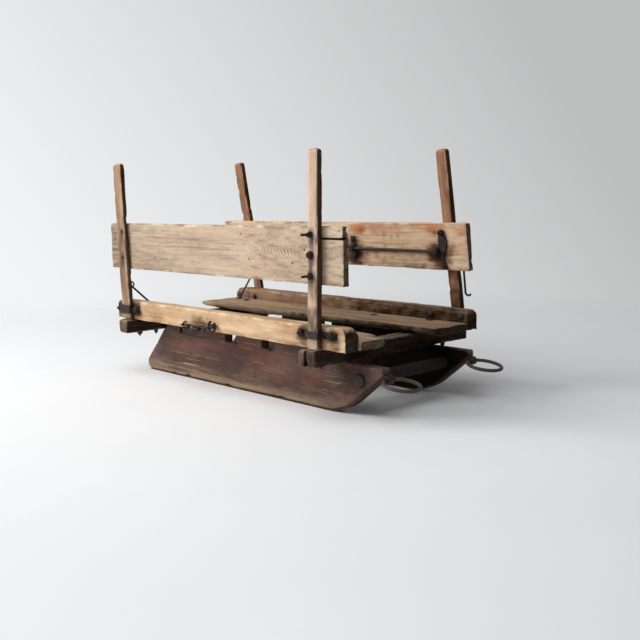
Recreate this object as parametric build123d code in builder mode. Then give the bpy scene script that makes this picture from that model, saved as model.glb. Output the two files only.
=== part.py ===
"""Wooden stake-sided sled: two plank runners with iron shoes, a bolster deck, side rails and stake panels.

Millimetres, +X towards the tow rings, +Z up, right side at -Y, floor at z = 0.
X places in the tables below are measured from the front end of the side rails.
"""

import os
from math import cos, radians, sin, tan

from build123d import *

os.makedirs("parts", exist_ok=True)

# Heights
shoe_thick = 5.0
bolster_height = 41.3
deck_z = 174.7
plank_thick = 22.8
rail_height = 56.9
bolster_bottom = deck_z - bolster_height
rail_top = deck_z + rail_height

# Side rails
rail_outer = 263.0
rail_thick = 47.0
rail_length = 1009.0
rail_end_round = 20.0
rail_chamfer = 8.0

# Runners and their iron shoes, the heel measured from the rails' rear end
runner_outer = 181.0
runner_thick = 28.0
runner_mid = runner_outer - runner_thick / 2
heel_angle = 48.0
heel_setback = 164.0
heel_round = 19.0
toe_start_x = -155.0
toe_radius = 180.0
toe_angle = 39.0
nose_x = 46.0
nose_round = 7.0
shoe_width = 24.0
shoe_heel_gap = 33.8
seat_clearance = 0.5
heel_slope = tan(radians(heel_angle))
heel_top_x = heel_setback - rail_length
heel_x = heel_top_x - (deck_z - shoe_thick) / heel_slope
shoe_rear_x = heel_x + shoe_heel_gap

# Tow rings in the rolled eyes of the shoes
ring_radius = 44.5
ring_wire = 9.0
ring_droop = 9.0
eye_setback = 6.0
eye_clearance = 0.7

# Bolsters under the deck: name, front face x, length along the sled, right reach, left reach, end round
rear_bolster_gap = 25.8
rear_bolster_x = heel_top_x - bolster_height / heel_slope - rear_bolster_gap
bolsters = [
    ("front_bolster_fore", -77.0, 30.0, 292.0, 320.0, 3.0),
    ("front_bolster_aft", -108.0, 22.0, 296.0, 318.0, 3.0),
    ("rear_bolster", rear_bolster_x, 46.0, 296.0, 312.0, 9.0),
]
front_step_x = bolsters[1][1] - bolsters[1][2] - seat_clearance

# Lashing slots in the runners' top edges: side name, rear and front edge ahead of the heel's top
slot_depth = 42.0
slots = [
    ("right", 280.0, 336.0),
    ("right", 442.0, 495.0),
    ("left", 50.0, 153.0),
    ("left", 325.0, 381.0),
]

# Front rung through both runners
rung_x = -34.0
rung_z = 93.0
rung_radius = 16.0
rung_stand_out = 4.5
rung_end_round = 3.6
rung_clearance = 0.2

# Deck planks, past the rails' front end and short of their rear end
plank_front_x = 6.0
plank_rear_inset = 6.0
plank_length = plank_front_x + rail_length - plank_rear_inset
plank_gap = 1.0
right_plank_width = 116.0
left_plank_width = 154.0
broken_corner_length = 75.0
broken_corner_width = 26.0
broken_step_length = 30.0
broken_step_width = 18.0
plank_undercut = 40.0
plank_edge_bevel = 28.0
plank_outer = rail_outer - rail_thick - plank_gap

# Side panels: side name, side of the centre plane, inward lean angle, board's reach past the rails' rear
# end, its height over the rail, its width
right_lean_angle = 0.0
left_lean_angle = 8.5
board_front_x = -4.0
board_thick = 19.0
panels = [
    ("right", -1, right_lean_angle, 22.0, 99.8, 140.0),
    ("left", 1, left_lean_angle, 45.0, 108.0, 132.0),
]
split_side = "right"
split_length = 95.0
split_height = 112.0
split_width = 2.0
split_loss = 7.0

# Stakes: end, side name, distance from that end of the rails, forward rake angle, width, thickness,
# height over the rail
stake_tip_chamfer = 4.0
stake_foot_allowance = 25.0
stakes = [
    ("front", "right", 93.0, 1.0, 35.0, 19.0, 421.0),
    ("rear", "right", 71.0, -2.7, 46.0, 15.0, 421.0),
    ("front", "left", 75.0, -1.4, 36.0, 20.0, 440.0),
    ("rear", "left", 63.0, -2.0, 40.0, 17.0, 440.0),
]

# Iron straps that hold the stakes to the rails: end, bottom under the rail's top, height, ear length
strap_thick = 3.5
strap_clearance = 0.6
strap_round = 3.0
straps = {
    "front": (28.0, 17.0, 44.0),
    "rear": (37.0, 25.0, 30.0),
}

# Gate rods on the inner faces of the boards
plate_width = 17.0
plate_thick = 4.0
plate_low = 112.0
plate_length = 112.0
plate_round = 5.6
plate_x = -92.0
pivot_setback = 15.0
pivot_rise = 51.0
pivot_radius = 6.0
pivot_head_radius = 11.0
pivot_head = 5.0
pivot_head_round = 1.6
pivot_clearance = 0.3
rod_radius = 4.5
rod_eye_radius = 11.5
rod_eye_thick = 10.4
keeper_x = -428.0
keeper_width = 16.0
keeper_ear = 28.0
keeper_thick = 3.0
keeper_clearance = 0.4
pivot_x = plate_x - pivot_setback
pivot_height = plate_low + pivot_rise
rod_end_x = keeper_x - keeper_width / 2

# Brace rods from the rear stakes to the deck: side name, height of the eye, foot distance from the centre
brace_radius = 3.0
brace_eye_radius = 9.0
brace_eye_thick = 7.0
brace_foot_radius = 10.0
brace_foot_thick = 4.0
braces = [
    ("right", 283.0, 166.0),
    ("left", 290.0, 184.0),
]

# Loose brace hook on the left board's front end
hook_x = -40.0
hook_eye_height = 128.0
hook_length = 84.0
hook_bend = 9.0
hook_bend_angle = 150.0

# Lashing bar under the right rail, with its chain and hook
lash_front_x = -458.0
lash_rear_x = -676.0
lash_thick = 5.0
lash_width = 9.0
lash_front_drop = 15.0
lash_rear_drop = 22.0
lash_bow = 6.0
link_length = 36.0
link_width = 19.0
link_wire = 5.0
link_count = 5
link_clearance = 0.3
chain_rear_x = -640.0
chain_rise = 11.0
chain_start = -10.0
chain_turn = 6.0
staple_wire = 5.0
staple_leg = 7.5
hook_radius = 14.0
hook_wire = 7.0
hook_open_start = 30.0
hook_open = 70.0
hook_pin_radius = 5.0
hook_pin_lip = 2.5

# Derived places
toe = radians(toe_angle)
wood_radius = toe_radius - shoe_thick
slope_start_x = toe_start_x + wood_radius * sin(toe)
slope_start_z = toe_radius - wood_radius * cos(toe)
nose_low_z = slope_start_z + (nose_x - slope_start_x) * tan(toe)
rod_eye_seat = rod_eye_thick + 2 * pivot_clearance
ring_sag = shoe_width**2 / (8 * ring_radius)
eye_bore = ring_wire / 2 + ring_sag / 2 + eye_clearance
eye_outer = eye_bore + shoe_thick
eye_seat = (nose_x - eye_setback * cos(toe), nose_low_z - eye_setback * sin(toe))
eye_x = eye_seat[0] + eye_outer * sin(toe)
eye_z = eye_seat[1] - eye_outer * cos(toe)
droop = radians(ring_droop)
ring_reach = ring_radius - ring_sag / 2
ring_x = eye_x + ring_reach * cos(droop)
ring_z = eye_z - ring_reach * sin(droop)
front_end = ring_x + ring_radius * cos(droop) + ring_wire / 2
rear_end = -rail_length - max(row[3] for row in panels)
rail_front = -(front_end + rear_end) / 2
centre_y = (max(row[3] for row in bolsters) - max(row[4] for row in bolsters)) / 2
sides = {name: side for name, side, *_ in panels}
leans = {name: radians(lean) for name, _, lean, *_ in panels}


def end_x(end, setback):
    """Place along the sled, a distance in from the front or the rear end of the rails."""
    return -setback if end == "front" else setback - rail_length


def side_plane(y):
    """Upright plane along the sled, y from its centre: local x from the rails' front end, local y up."""
    return Plane(origin=(rail_front, centre_y + y, 0), x_dir=(1, 0, 0), z_dir=(0, -1, 0))


def level_plane(z):
    """Level plane: local x forward from the rails' front end, local y left from the sled's centre."""
    return Plane(origin=(rail_front, centre_y, z))


def panel_plane(side_name, x, height=0.0, outward=0.0, rake=0.0):
    """Plane on a panel's stake face: local y up the panel, normal outward, height over the rail's edge."""
    side = sides[side_name]
    lean = leans[side_name]
    tilt = radians(rake)
    up = Vector(0, -side * sin(lean), cos(lean))
    out = Vector(0, side * cos(lean), sin(lean))
    along = Vector(1, 0, 0) * cos(tilt) - up * sin(tilt)
    edge = Vector(rail_front + x, centre_y + side * rail_outer, rail_top)
    return Plane(origin=edge + up * height + out * outward, x_dir=along * -side, z_dir=out)


# Runners, stepped for the front bolster and slotted along the top edge
for side_name, side in sides.items():
    with BuildPart() as runner:
        with BuildSketch(side_plane(side * runner_mid)) as outline:
            with BuildLine() as edge:
                bottom = Line((heel_x, shoe_thick), (toe_start_x, shoe_thick))
                curve = CenterArc((toe_start_x, toe_radius), wood_radius, -90, toe_angle)
                slope = Line(curve @ 1, (nose_x, nose_low_z))
                Polyline(
                    slope @ 1,
                    (nose_x, bolster_bottom),
                    (front_step_x, bolster_bottom),
                    (front_step_x, deck_z),
                    (heel_top_x, deck_z),
                    bottom @ 0,
                )
            make_face()
            heel_corner = outline.vertices().sort_by(Axis.X)[0]
            fillet(heel_corner, heel_round)
            nose_corner = outline.vertices().group_by(Axis.X)[-1].sort_by(Axis.Y)[-1]
            fillet(nose_corner, nose_round)
            for slot_side, slot_rear, slot_front in slots:
                if slot_side == side_name:
                    slot_x = heel_top_x + (slot_rear + slot_front) / 2
                    with Locations((slot_x, deck_z - slot_depth / 2)):
                        Rectangle(slot_front - slot_rear, slot_depth, mode=Mode.SUBTRACT)
            with Locations((rung_x, rung_z)):
                Circle(rung_radius + rung_clearance, mode=Mode.SUBTRACT)
        extrude(amount=runner_thick / 2, both=True)
    runner.part.label = f"runner_{side_name}"
    export_step(runner.part, f"parts/runner_{side_name}.step")

# Iron shoes, rolled outward into an eye at the nose
for side_name, side in sides.items():
    with BuildPart() as shoe:
        with BuildSketch(side_plane(side * runner_mid)) as strip:
            with BuildLine() as strip_edge:
                sole = Line((shoe_rear_x, 0), (toe_start_x, 0))
                outer = CenterArc((toe_start_x, toe_radius), toe_radius, -90, toe_angle)
                tip = (eye_seat[0] + shoe_thick * sin(toe), eye_seat[1] - shoe_thick * cos(toe))
                Polyline(outer @ 1, tip, eye_seat)
                inner = CenterArc((toe_start_x, toe_radius), wood_radius, -90, toe_angle)
                Line(eye_seat, inner @ 1)
                Polyline(inner @ 0, (shoe_rear_x + shoe_thick, shoe_thick), sole @ 0)
            make_face()
            with Locations((eye_x, eye_z)):
                Circle(eye_outer)
                Circle(eye_bore, mode=Mode.SUBTRACT)
        extrude(amount=shoe_width / 2, both=True)
    shoe.part.label = f"shoe_{side_name}"
    export_step(shoe.part, f"parts/shoe_{side_name}.step")

# Tow rings
for side_name, side in sides.items():
    centre = (rail_front + ring_x, centre_y + side * runner_mid, ring_z)
    with BuildPart(Plane(origin=centre, z_dir=(sin(droop), 0, cos(droop)))) as ring:
        Torus(ring_radius, ring_wire / 2)
    ring.part.label = f"tow_ring_{side_name}"
    export_step(ring.part, f"parts/tow_ring_{side_name}.step")

# Front rung with domed ends
with BuildPart() as rung:
    with BuildSketch(side_plane(0)):
        with Locations((rung_x, rung_z)):
            Circle(rung_radius)
    extrude(amount=runner_outer + rung_stand_out, both=True)
    fillet(rung.edges().filter_by(GeomType.CIRCLE), rung_end_round)
rung.part.label = "front_rung"
export_step(rung.part, "parts/front_rung.step")

# Bolsters with rounded ends
for name, front, length, right_reach, left_reach, end_round in bolsters:
    with BuildPart() as bolster:
        with BuildSketch(level_plane(bolster_bottom)):
            with Locations((front - length / 2, (left_reach - right_reach) / 2)):
                Rectangle(length, left_reach + right_reach)
        extrude(amount=bolster_height)
        fillet(bolster.faces().filter_by(Axis.Y).edges().filter_by(Axis.X), end_round)
    bolster.part.label = name
    export_step(bolster.part, f"parts/{name}.step")

# Side rails
for side_name, side in sides.items():
    with BuildPart() as rail:
        with BuildSketch(side_plane(side * (rail_outer - rail_thick / 2))) as rail_side:
            with Locations((-rail_length / 2, deck_z + rail_height / 2)):
                Rectangle(rail_length, rail_height)
            fillet(rail_side.vertices().group_by(Axis.Y)[-1], rail_end_round)
        extrude(amount=rail_thick / 2, both=True)
        top_edges = rail.faces().sort_by(Axis.Z)[-1].edges().filter_by(Axis.X)
        chamfer(top_edges.sort_by(Axis.Y)[0 if side > 0 else -1], rail_chamfer)
    rail.part.label = f"rail_{side_name}"
    export_step(rail.part, f"parts/rail_{side_name}.step")

# Right deck plank, its inner front corner broken away
with BuildPart() as right_plank:
    with BuildSketch(level_plane(deck_z)):
        with BuildLine():
            inner_y = -plank_outer + right_plank_width
            Polyline(
                (plank_front_x - plank_length, -plank_outer),
                (plank_front_x, -plank_outer),
                (plank_front_x, inner_y - broken_corner_width),
                (plank_front_x - broken_step_length, inner_y - broken_step_width),
                (plank_front_x - broken_corner_length, inner_y),
                (plank_front_x - plank_length, inner_y),
                close=True,
            )
        make_face()
    extrude(amount=plank_thick)
right_plank.part.label = "deck_plank_right"
export_step(right_plank.part, "parts/deck_plank_right.step")

# Left deck plank, its inner edge and its rear end cut back underneath
with BuildPart() as left_plank:
    front_edge = (rail_front + plank_front_x, centre_y, deck_z)
    with BuildSketch(Plane(origin=front_edge, x_dir=(0, 1, 0), z_dir=(1, 0, 0))):
        with BuildLine():
            inner_y = plank_outer - left_plank_width
            Polyline(
                (plank_outer, 0),
                (plank_outer, plank_thick),
                (inner_y, plank_thick),
                (inner_y + plank_edge_bevel, 0),
                close=True,
            )
        make_face()
    extrude(amount=-plank_length)
    rear_edge = (rail_front + plank_front_x - plank_length, 0, deck_z + plank_thick)
    split(bisect_by=Plane(origin=rear_edge, z_dir=(plank_thick, 0, plank_undercut)), keep=Keep.TOP)
left_plank.part.label = "deck_plank_left"
export_step(left_plank.part, "parts/deck_plank_left.step")

# Side boards on the inner faces of the stakes, the right one split at its front end
for side_name, side, _, board_reach, board_low, board_width in panels:
    board_length = board_front_x + rail_length + board_reach
    with BuildPart() as board:
        with BuildSketch(panel_plane(side_name, board_front_x, board_low, -board_thick)):
            with Locations((side * board_length / 2, board_width / 2)):
                Rectangle(board_length, board_width)
            if side_name == split_side:
                with Locations((side * split_length / 2, split_height)):
                    Rectangle(split_length, split_width, mode=Mode.SUBTRACT)
                with Locations((side * split_loss / 2, (split_height + board_width) / 2)):
                    Rectangle(split_loss, board_width - split_height, mode=Mode.SUBTRACT)
        extrude(amount=board_thick)
    board.part.label = f"side_board_{side_name}"
    export_step(board.part, f"parts/side_board_{side_name}.step")

# Stakes, standing on the bolsters against the outer faces of the rails
for end, side_name, setback, rake, stake_width, stake_thick, stake_top in stakes:
    with BuildPart() as stake:
        foot = rail_height + stake_foot_allowance
        with BuildSketch(panel_plane(side_name, end_x(end, setback), rake=rake)) as stake_face:
            with Locations((0, (stake_top - foot) / 2)):
                Rectangle(stake_width, stake_top + foot)
            chamfer(stake_face.vertices().group_by(Axis.Y)[-1], stake_tip_chamfer)
        extrude(amount=stake_thick)
        split(bisect_by=Plane.XY.offset(deck_z), keep=Keep.TOP)
    stake.part.label = f"stake_{end}_{side_name}"
    export_step(stake.part, f"parts/stake_{end}_{side_name}.step")

# Hat-shaped straps around the stakes' feet
for end, side_name, setback, rake, stake_width, stake_thick, _ in stakes:
    strap_drop, strap_height, strap_ear = straps[end]
    side = sides[side_name]
    lean = leans[side_name]
    tilt = radians(rake)
    strap_x = end_x(end, setback) - (strap_drop - strap_height / 2) * tan(tilt)
    opening = stake_width / cos(tilt) + strap_height * abs(tan(tilt)) + 2 * strap_clearance
    depth = strap_drop * tan(lean) + stake_thick / cos(lean) + strap_clearance
    with BuildPart() as strap:
        with BuildSketch(level_plane(rail_top - strap_drop)) as hat:
            with Locations((strap_x, side * (rail_outer + (depth + strap_thick) / 2))):
                Rectangle(opening + 2 * strap_thick, depth + strap_thick)
            bends = hat.vertices().group_by(Axis.Y)[-1 if side > 0 else 0]
            fillet(bends, strap_round)
            with Locations((strap_x, side * (rail_outer + strap_thick / 2))):
                Rectangle(opening + 2 * strap_thick + 2 * strap_ear, strap_thick)
            with Locations((strap_x, side * (rail_outer + depth / 2))):
                Rectangle(opening, depth, mode=Mode.SUBTRACT)
        extrude(amount=strap_height)
    strap.part.label = f"stake_strap_{end}_{side_name}"
    export_step(strap.part, f"parts/stake_strap_{end}_{side_name}.step")

# Pivot plates on the boards: a strap with a round lug, the pivot pin and its head
for side_name, side in sides.items():
    with BuildPart() as plate:
        with BuildSketch(panel_plane(side_name, plate_x, plate_low, -board_thick)) as strip:
            with Locations((0, plate_length / 2)):
                RectangleRounded(plate_width, plate_length, plate_round)
            with Locations((side * (plate_x - pivot_x), pivot_height - plate_low)):
                Circle(rod_eye_radius)
        extrude(amount=-plate_thick)
        plate_face = -board_thick - plate_thick
        with BuildSketch(panel_plane(side_name, pivot_x, pivot_height, plate_face)):
            Circle(pivot_radius)
        extrude(amount=-rod_eye_seat)
        with BuildSketch(panel_plane(side_name, pivot_x, pivot_height, plate_face - rod_eye_seat)):
            Circle(pivot_head_radius)
        extrude(amount=-pivot_head)
        fillet(plate.faces().sort_by(Axis.Y)[0 if side > 0 else -1].edges(), pivot_head_round)
    plate.part.label = f"pivot_plate_{side_name}"
    export_step(plate.part, f"parts/pivot_plate_{side_name}.step")

# Gate rods with an eye around the pivot
for side_name, side in sides.items():
    rod_line = -board_thick - plate_thick - rod_eye_seat / 2
    with BuildPart() as gate_rod:
        with BuildSketch(panel_plane(side_name, pivot_x, pivot_height, rod_line)):
            Circle(rod_eye_radius)
        extrude(amount=rod_eye_thick / 2, both=True)
        eye = panel_plane(side_name, pivot_x, pivot_height, rod_line)
        with BuildSketch(Plane(origin=eye.origin, z_dir=(-1, 0, 0))):
            Circle(rod_radius)
        extrude(amount=pivot_x - rod_end_x)
        with BuildSketch(eye):
            Circle(pivot_radius + pivot_clearance)
        extrude(amount=rod_eye_radius, both=True, mode=Mode.SUBTRACT)
    gate_rod.part.label = f"gate_rod_{side_name}"
    export_step(gate_rod.part, f"parts/gate_rod_{side_name}.step")

# Keepers that hold the rods' rear ends to the boards
for side_name, side in sides.items():
    face = panel_plane(side_name, keeper_x, pivot_height, -board_thick)
    depth = plate_thick + rod_eye_seat / 2 + rod_radius + keeper_clearance
    opening = 2 * (rod_radius + keeper_clearance)
    with BuildPart() as keeper:
        with BuildSketch(Plane(origin=face.origin, x_dir=face.y_dir, z_dir=face.x_dir)):
            with Locations((0, -(depth + keeper_thick) / 2)):
                Rectangle(opening + 2 * keeper_thick, depth + keeper_thick)
            with Locations((0, -keeper_thick / 2)):
                Rectangle(opening + 2 * (keeper_thick + keeper_ear), keeper_thick)
            with Locations((0, -depth / 2)):
                Rectangle(opening, depth, mode=Mode.SUBTRACT)
        extrude(amount=keeper_width / 2, both=True)
    keeper.part.label = f"rod_keeper_{side_name}"
    export_step(keeper.part, f"parts/rod_keeper_{side_name}.step")

# Brace rods from the rear stakes' inner faces down to the planks
for side_name, eye_height, foot_y in braces:
    side = sides[side_name]
    _, _, setback, rake, *_ = next(row for row in stakes if row[:2] == ("rear", side_name))
    brace_rise = (eye_height - rail_top) / cos(leans[side_name])
    brace_x = end_x("rear", setback) + brace_rise * tan(radians(rake))
    eye = panel_plane(side_name, brace_x, brace_rise)
    plank_top = deck_z + plank_thick
    start = eye.origin - eye.z_dir * (brace_eye_thick / 2)
    foot = Vector(rail_front + brace_x, centre_y + side * foot_y, plank_top + brace_radius)
    with BuildPart() as brace:
        with BuildSketch(eye):
            Circle(brace_eye_radius)
        extrude(amount=-brace_eye_thick)
        with BuildSketch(Plane(origin=start, z_dir=foot - start)):
            Circle(brace_radius)
        extrude(amount=(foot - start).length)
        with BuildSketch(Plane(origin=(foot.X, foot.Y, plank_top))):
            Circle(brace_foot_radius)
        extrude(amount=brace_foot_thick)
    brace.part.label = f"rear_brace_{side_name}"
    export_step(brace.part, f"parts/rear_brace_{side_name}.step")

# Loose brace hook hanging on the left board
with BuildPart() as loose_hook:
    hook_face = panel_plane("left", hook_x, hook_eye_height)
    with BuildSketch(hook_face):
        Circle(brace_eye_radius)
    extrude(amount=brace_eye_thick)
    hang = panel_plane("left", hook_x, hook_eye_height, brace_eye_thick / 2)
    with BuildLine(hang) as hook_path:
        shank = Line((0, 0), (0, -hook_length))
        CenterArc((-hook_bend, -hook_length), hook_bend, 0, -hook_bend_angle)
    with BuildSketch(Plane(origin=shank @ 0, z_dir=shank % 0)):
        Circle(brace_radius)
    sweep(path=hook_path.line)
loose_hook.part.label = "brace_hook_left"
export_step(loose_hook.part, "parts/brace_hook_left.step")

# Lashing bar, a shallow bowed stirrup under the right rail
with BuildPart() as lash_bar:
    with BuildSketch(side_plane(-rail_outer + lash_width)):
        with BuildLine():
            low_front = (lash_front_x, deck_z - lash_front_drop)
            low_rear = (lash_rear_x, deck_z - lash_rear_drop)
            mid_x = (lash_front_x + lash_rear_x) / 2
            mid_z = deck_z - (lash_front_drop + lash_rear_drop) / 2 - lash_bow
            Line((lash_front_x, deck_z), low_front)
            ThreePointArc(low_front, (mid_x, mid_z), low_rear)
            Polyline(
                low_rear,
                (lash_rear_x, deck_z),
                (lash_rear_x + lash_thick, deck_z),
                (lash_rear_x + lash_thick, low_rear[1] + lash_thick),
            )
            ThreePointArc(
                (lash_rear_x + lash_thick, low_rear[1] + lash_thick),
                (mid_x, mid_z + lash_thick),
                (lash_front_x - lash_thick, low_front[1] + lash_thick),
            )
            Polyline(
                (lash_front_x - lash_thick, low_front[1] + lash_thick),
                (lash_front_x - lash_thick, deck_z),
                (lash_front_x, deck_z),
            )
        make_face()
    extrude(amount=lash_width)
lash_bar.part.label = "lashing_bar"
export_step(lash_bar.part, "parts/lashing_bar.step")

# Chain of oval links that hangs between a staple and a hook on the right rail
rail_face = centre_y - rail_outer
chain_y = rail_face - link_width / 2 - link_clearance
link_half = (link_length - link_wire) / 2
link_joint = link_half - (link_wire + link_clearance) / 2
link_bend = (link_width - link_wire) / 2
joint_point = Vector(rail_front + chain_rear_x, chain_y, deck_z + chain_rise)
first_joint = joint_point
with BuildPart() as chain:
    for index in range(link_count):
        slope = radians(chain_start + index * chain_turn)
        along = Vector(cos(slope), 0, sin(slope))
        flat = index % 2 == 0
        normal = Vector(-sin(slope), 0, cos(slope)) if flat else Vector(0, -1, 0)
        middle = joint_point + along * link_joint
        with BuildLine(Plane(origin=middle, x_dir=along, z_dir=normal)) as loop:
            straight = link_half - link_bend
            top = Line((-straight, link_bend), (straight, link_bend))
            CenterArc((straight, 0), link_bend, 90, -180)
            Line((straight, -link_bend), (-straight, -link_bend))
            CenterArc((-straight, 0), link_bend, -90, -180)
        with BuildSketch(Plane(origin=top @ 0, z_dir=top % 0)):
            Circle(link_wire / 2)
        sweep(path=loop.wire())
        joint_point = joint_point + along * (2 * link_joint)
chain.part.label = "lashing_chain"
export_step(chain.part, "parts/lashing_chain.step")

# Staple through the first link
with BuildPart() as staple:
    crown = first_joint + Vector(cos(radians(chain_start)), 0, sin(radians(chain_start))) * (link_wire / 2)
    reach = rail_face - crown.Y
    with BuildLine(Plane(origin=(crown.X, rail_face, crown.Z), x_dir=(0, -1, 0), z_dir=(1, 0, 0))) as bend:
        Line((0, staple_leg), (reach - staple_wire, staple_leg))
        CenterArc((reach - staple_wire, staple_leg - staple_wire), staple_wire, 90, -90)
        Line((reach, staple_leg - staple_wire), (reach, staple_wire - staple_leg))
        CenterArc((reach - staple_wire, staple_wire - staple_leg), staple_wire, 0, -90)
        Line((reach - staple_wire, -staple_leg), (0, -staple_leg))
    with BuildSketch(Plane(origin=bend.line @ 0, z_dir=(0, -1, 0))):
        Circle(staple_wire / 2)
    sweep(path=bend.line)
staple.part.label = "chain_staple"
export_step(staple.part, "parts/chain_staple.step")

# Open hook in the last link, and the headed pin that it hangs on
hook_centre = joint_point + along * (hook_radius - (hook_wire + link_clearance) / 2)
with BuildPart() as chain_hook:
    with BuildLine(Plane(origin=hook_centre, x_dir=along, z_dir=(0, -1, 0))) as hook_arc:
        CenterArc((0, 0), hook_radius, hook_open_start + hook_open, 360 - hook_open)
    with BuildSketch(Plane(origin=hook_arc.line @ 0, z_dir=hook_arc.line % 0)):
        Circle(hook_wire / 2)
    sweep(path=hook_arc.line)
chain_hook.part.label = "chain_hook"
export_step(chain_hook.part, "parts/chain_hook.step")

pin_centre = hook_centre + along * (hook_radius - hook_wire / 2 - hook_pin_radius - link_clearance)
pin_reach = rail_face - chain_y + hook_wire / 2 + link_clearance
with BuildPart() as hook_pin:
    with BuildSketch(Plane(origin=(pin_centre.X, rail_face, pin_centre.Z), z_dir=(0, -1, 0))):
        Circle(hook_pin_radius)
    extrude(amount=pin_reach)
    with BuildSketch(Plane(origin=(pin_centre.X, rail_face - pin_reach, pin_centre.Z), z_dir=(0, -1, 0))):
        Circle(hook_pin_radius + hook_pin_lip)
    extrude(amount=hook_pin_lip)
hook_pin.part.label = "hook_pin"
export_step(hook_pin.part, "parts/hook_pin.step")
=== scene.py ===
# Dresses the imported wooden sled: worn timber, forged iron, bolts, a pale floor, soft light and the camera.
# Metres, in the frame's own axes: +X towards the tow rings, +Y to the sled's left, +Z up.
from math import cos, pi, radians, sin, sqrt

import bmesh
import bpy
import numpy as np
from mathutils import Matrix, Vector, noise


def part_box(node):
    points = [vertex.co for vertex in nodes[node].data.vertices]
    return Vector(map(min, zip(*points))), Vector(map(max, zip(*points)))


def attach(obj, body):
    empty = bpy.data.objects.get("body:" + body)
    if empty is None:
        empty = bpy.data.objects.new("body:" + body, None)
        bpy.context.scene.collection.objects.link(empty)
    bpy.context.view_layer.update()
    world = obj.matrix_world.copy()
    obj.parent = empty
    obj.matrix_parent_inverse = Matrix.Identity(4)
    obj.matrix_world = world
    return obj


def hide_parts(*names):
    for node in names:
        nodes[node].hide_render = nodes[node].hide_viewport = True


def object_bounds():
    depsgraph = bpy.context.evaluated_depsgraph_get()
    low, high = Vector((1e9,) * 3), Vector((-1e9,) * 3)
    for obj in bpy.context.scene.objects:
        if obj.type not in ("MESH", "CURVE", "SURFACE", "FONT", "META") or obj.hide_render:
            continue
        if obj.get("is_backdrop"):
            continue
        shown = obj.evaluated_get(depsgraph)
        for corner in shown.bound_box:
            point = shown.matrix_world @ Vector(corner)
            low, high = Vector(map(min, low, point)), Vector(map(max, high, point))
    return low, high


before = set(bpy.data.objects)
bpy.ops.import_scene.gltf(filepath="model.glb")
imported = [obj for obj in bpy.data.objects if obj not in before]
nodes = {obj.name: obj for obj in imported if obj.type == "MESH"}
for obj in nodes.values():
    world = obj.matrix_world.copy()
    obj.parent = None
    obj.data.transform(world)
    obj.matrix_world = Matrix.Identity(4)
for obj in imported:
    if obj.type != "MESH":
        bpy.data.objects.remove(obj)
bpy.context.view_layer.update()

MM = 0.001
AXIS_X = Vector((1, 0, 0))
AXIS_Y = Vector((0, 1, 0))
AXIS_Z = Vector((0, 0, 1))

# The camera, in the photograph's square frame
PHOTO_WIDTH = 640
FOCAL_PIXELS = 843.9
SENSOR_MM = 36.0
CAMERA_PLACE = Vector((1.8138, -1.6733, 0.525))
CAMERA_YAW = radians(45.87)
CAMERA_PITCH = radians(7.86)
CAMERA_ROLL = radians(-0.69)

# Noise on bare wood: scale per metre along and across the grain, detail and roughness
RING_DRIFT = (2.5, 16, 3, 0.55)
RING_BREAK = (34, 100, 3, 0.55)
FIBRE = (16, 480, 4, 0.7)
STREAK = (2.5, 120, 4, 0.65)
BLOTCH = (4, 22, 5, 0.65)
WEATHER_PATCH = (2.2, 26, 5, 0.7)
SOILING = (6, 17, 6, 0.7)
DRYING_CHECK = (2.6, 190, 2, 0.55)
EDGE_CHANCE = (18, 40, 3, 0.6)
STAIN_SPREAD = (11, 60, 5, 0.7)

# Noise on painted wood
PAINT_FIBRE = (7, 210, 5, 0.75)
PAINT_STREAK = (5, 75, 5, 0.7)
PAINT_CLOUD = (5, 14, 5, 0.65)
SCRATCH = (5, 210, 3, 0.55)
SCRATCHED_AREA = (4, 11, 3, 0.55)
SCUFF = (13, 95, 6, 0.8)
DARK_PATCH = (9, 48, 5, 0.75)
BARE_EDGE = (12, 70, 4, 0.55)

# Noise on iron and floor
IRON_BLOTCH = (90, 90, 5, 0.65)
IRON_PIT = (420, 420, 3, 0.55)
RUST_PATCH = (60, 60, 6, 0.7)
FLOOR_CLOUD = (3, 3, 4, 0.55)

# Noise that shapes timber and stains: scale per metre along, across and through
SWELL = (7, 22, 22)
DENT = (34, 60, 60)
CHIP = (26, 40, 40)
BREAK = (120, 0, 90)
STAIN_RIM = (45, 45, 45)


# Shader graphs

def tone(red, green, blue):
    """Linear colour of an 8-bit display colour."""
    linear = []
    for value in (red, green, blue):
        share = value / 255
        linear.append(share / 12.92 if share <= 0.04045 else ((share + 0.055) / 1.055) ** 2.4)
    return (*linear, 1.0)


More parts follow.
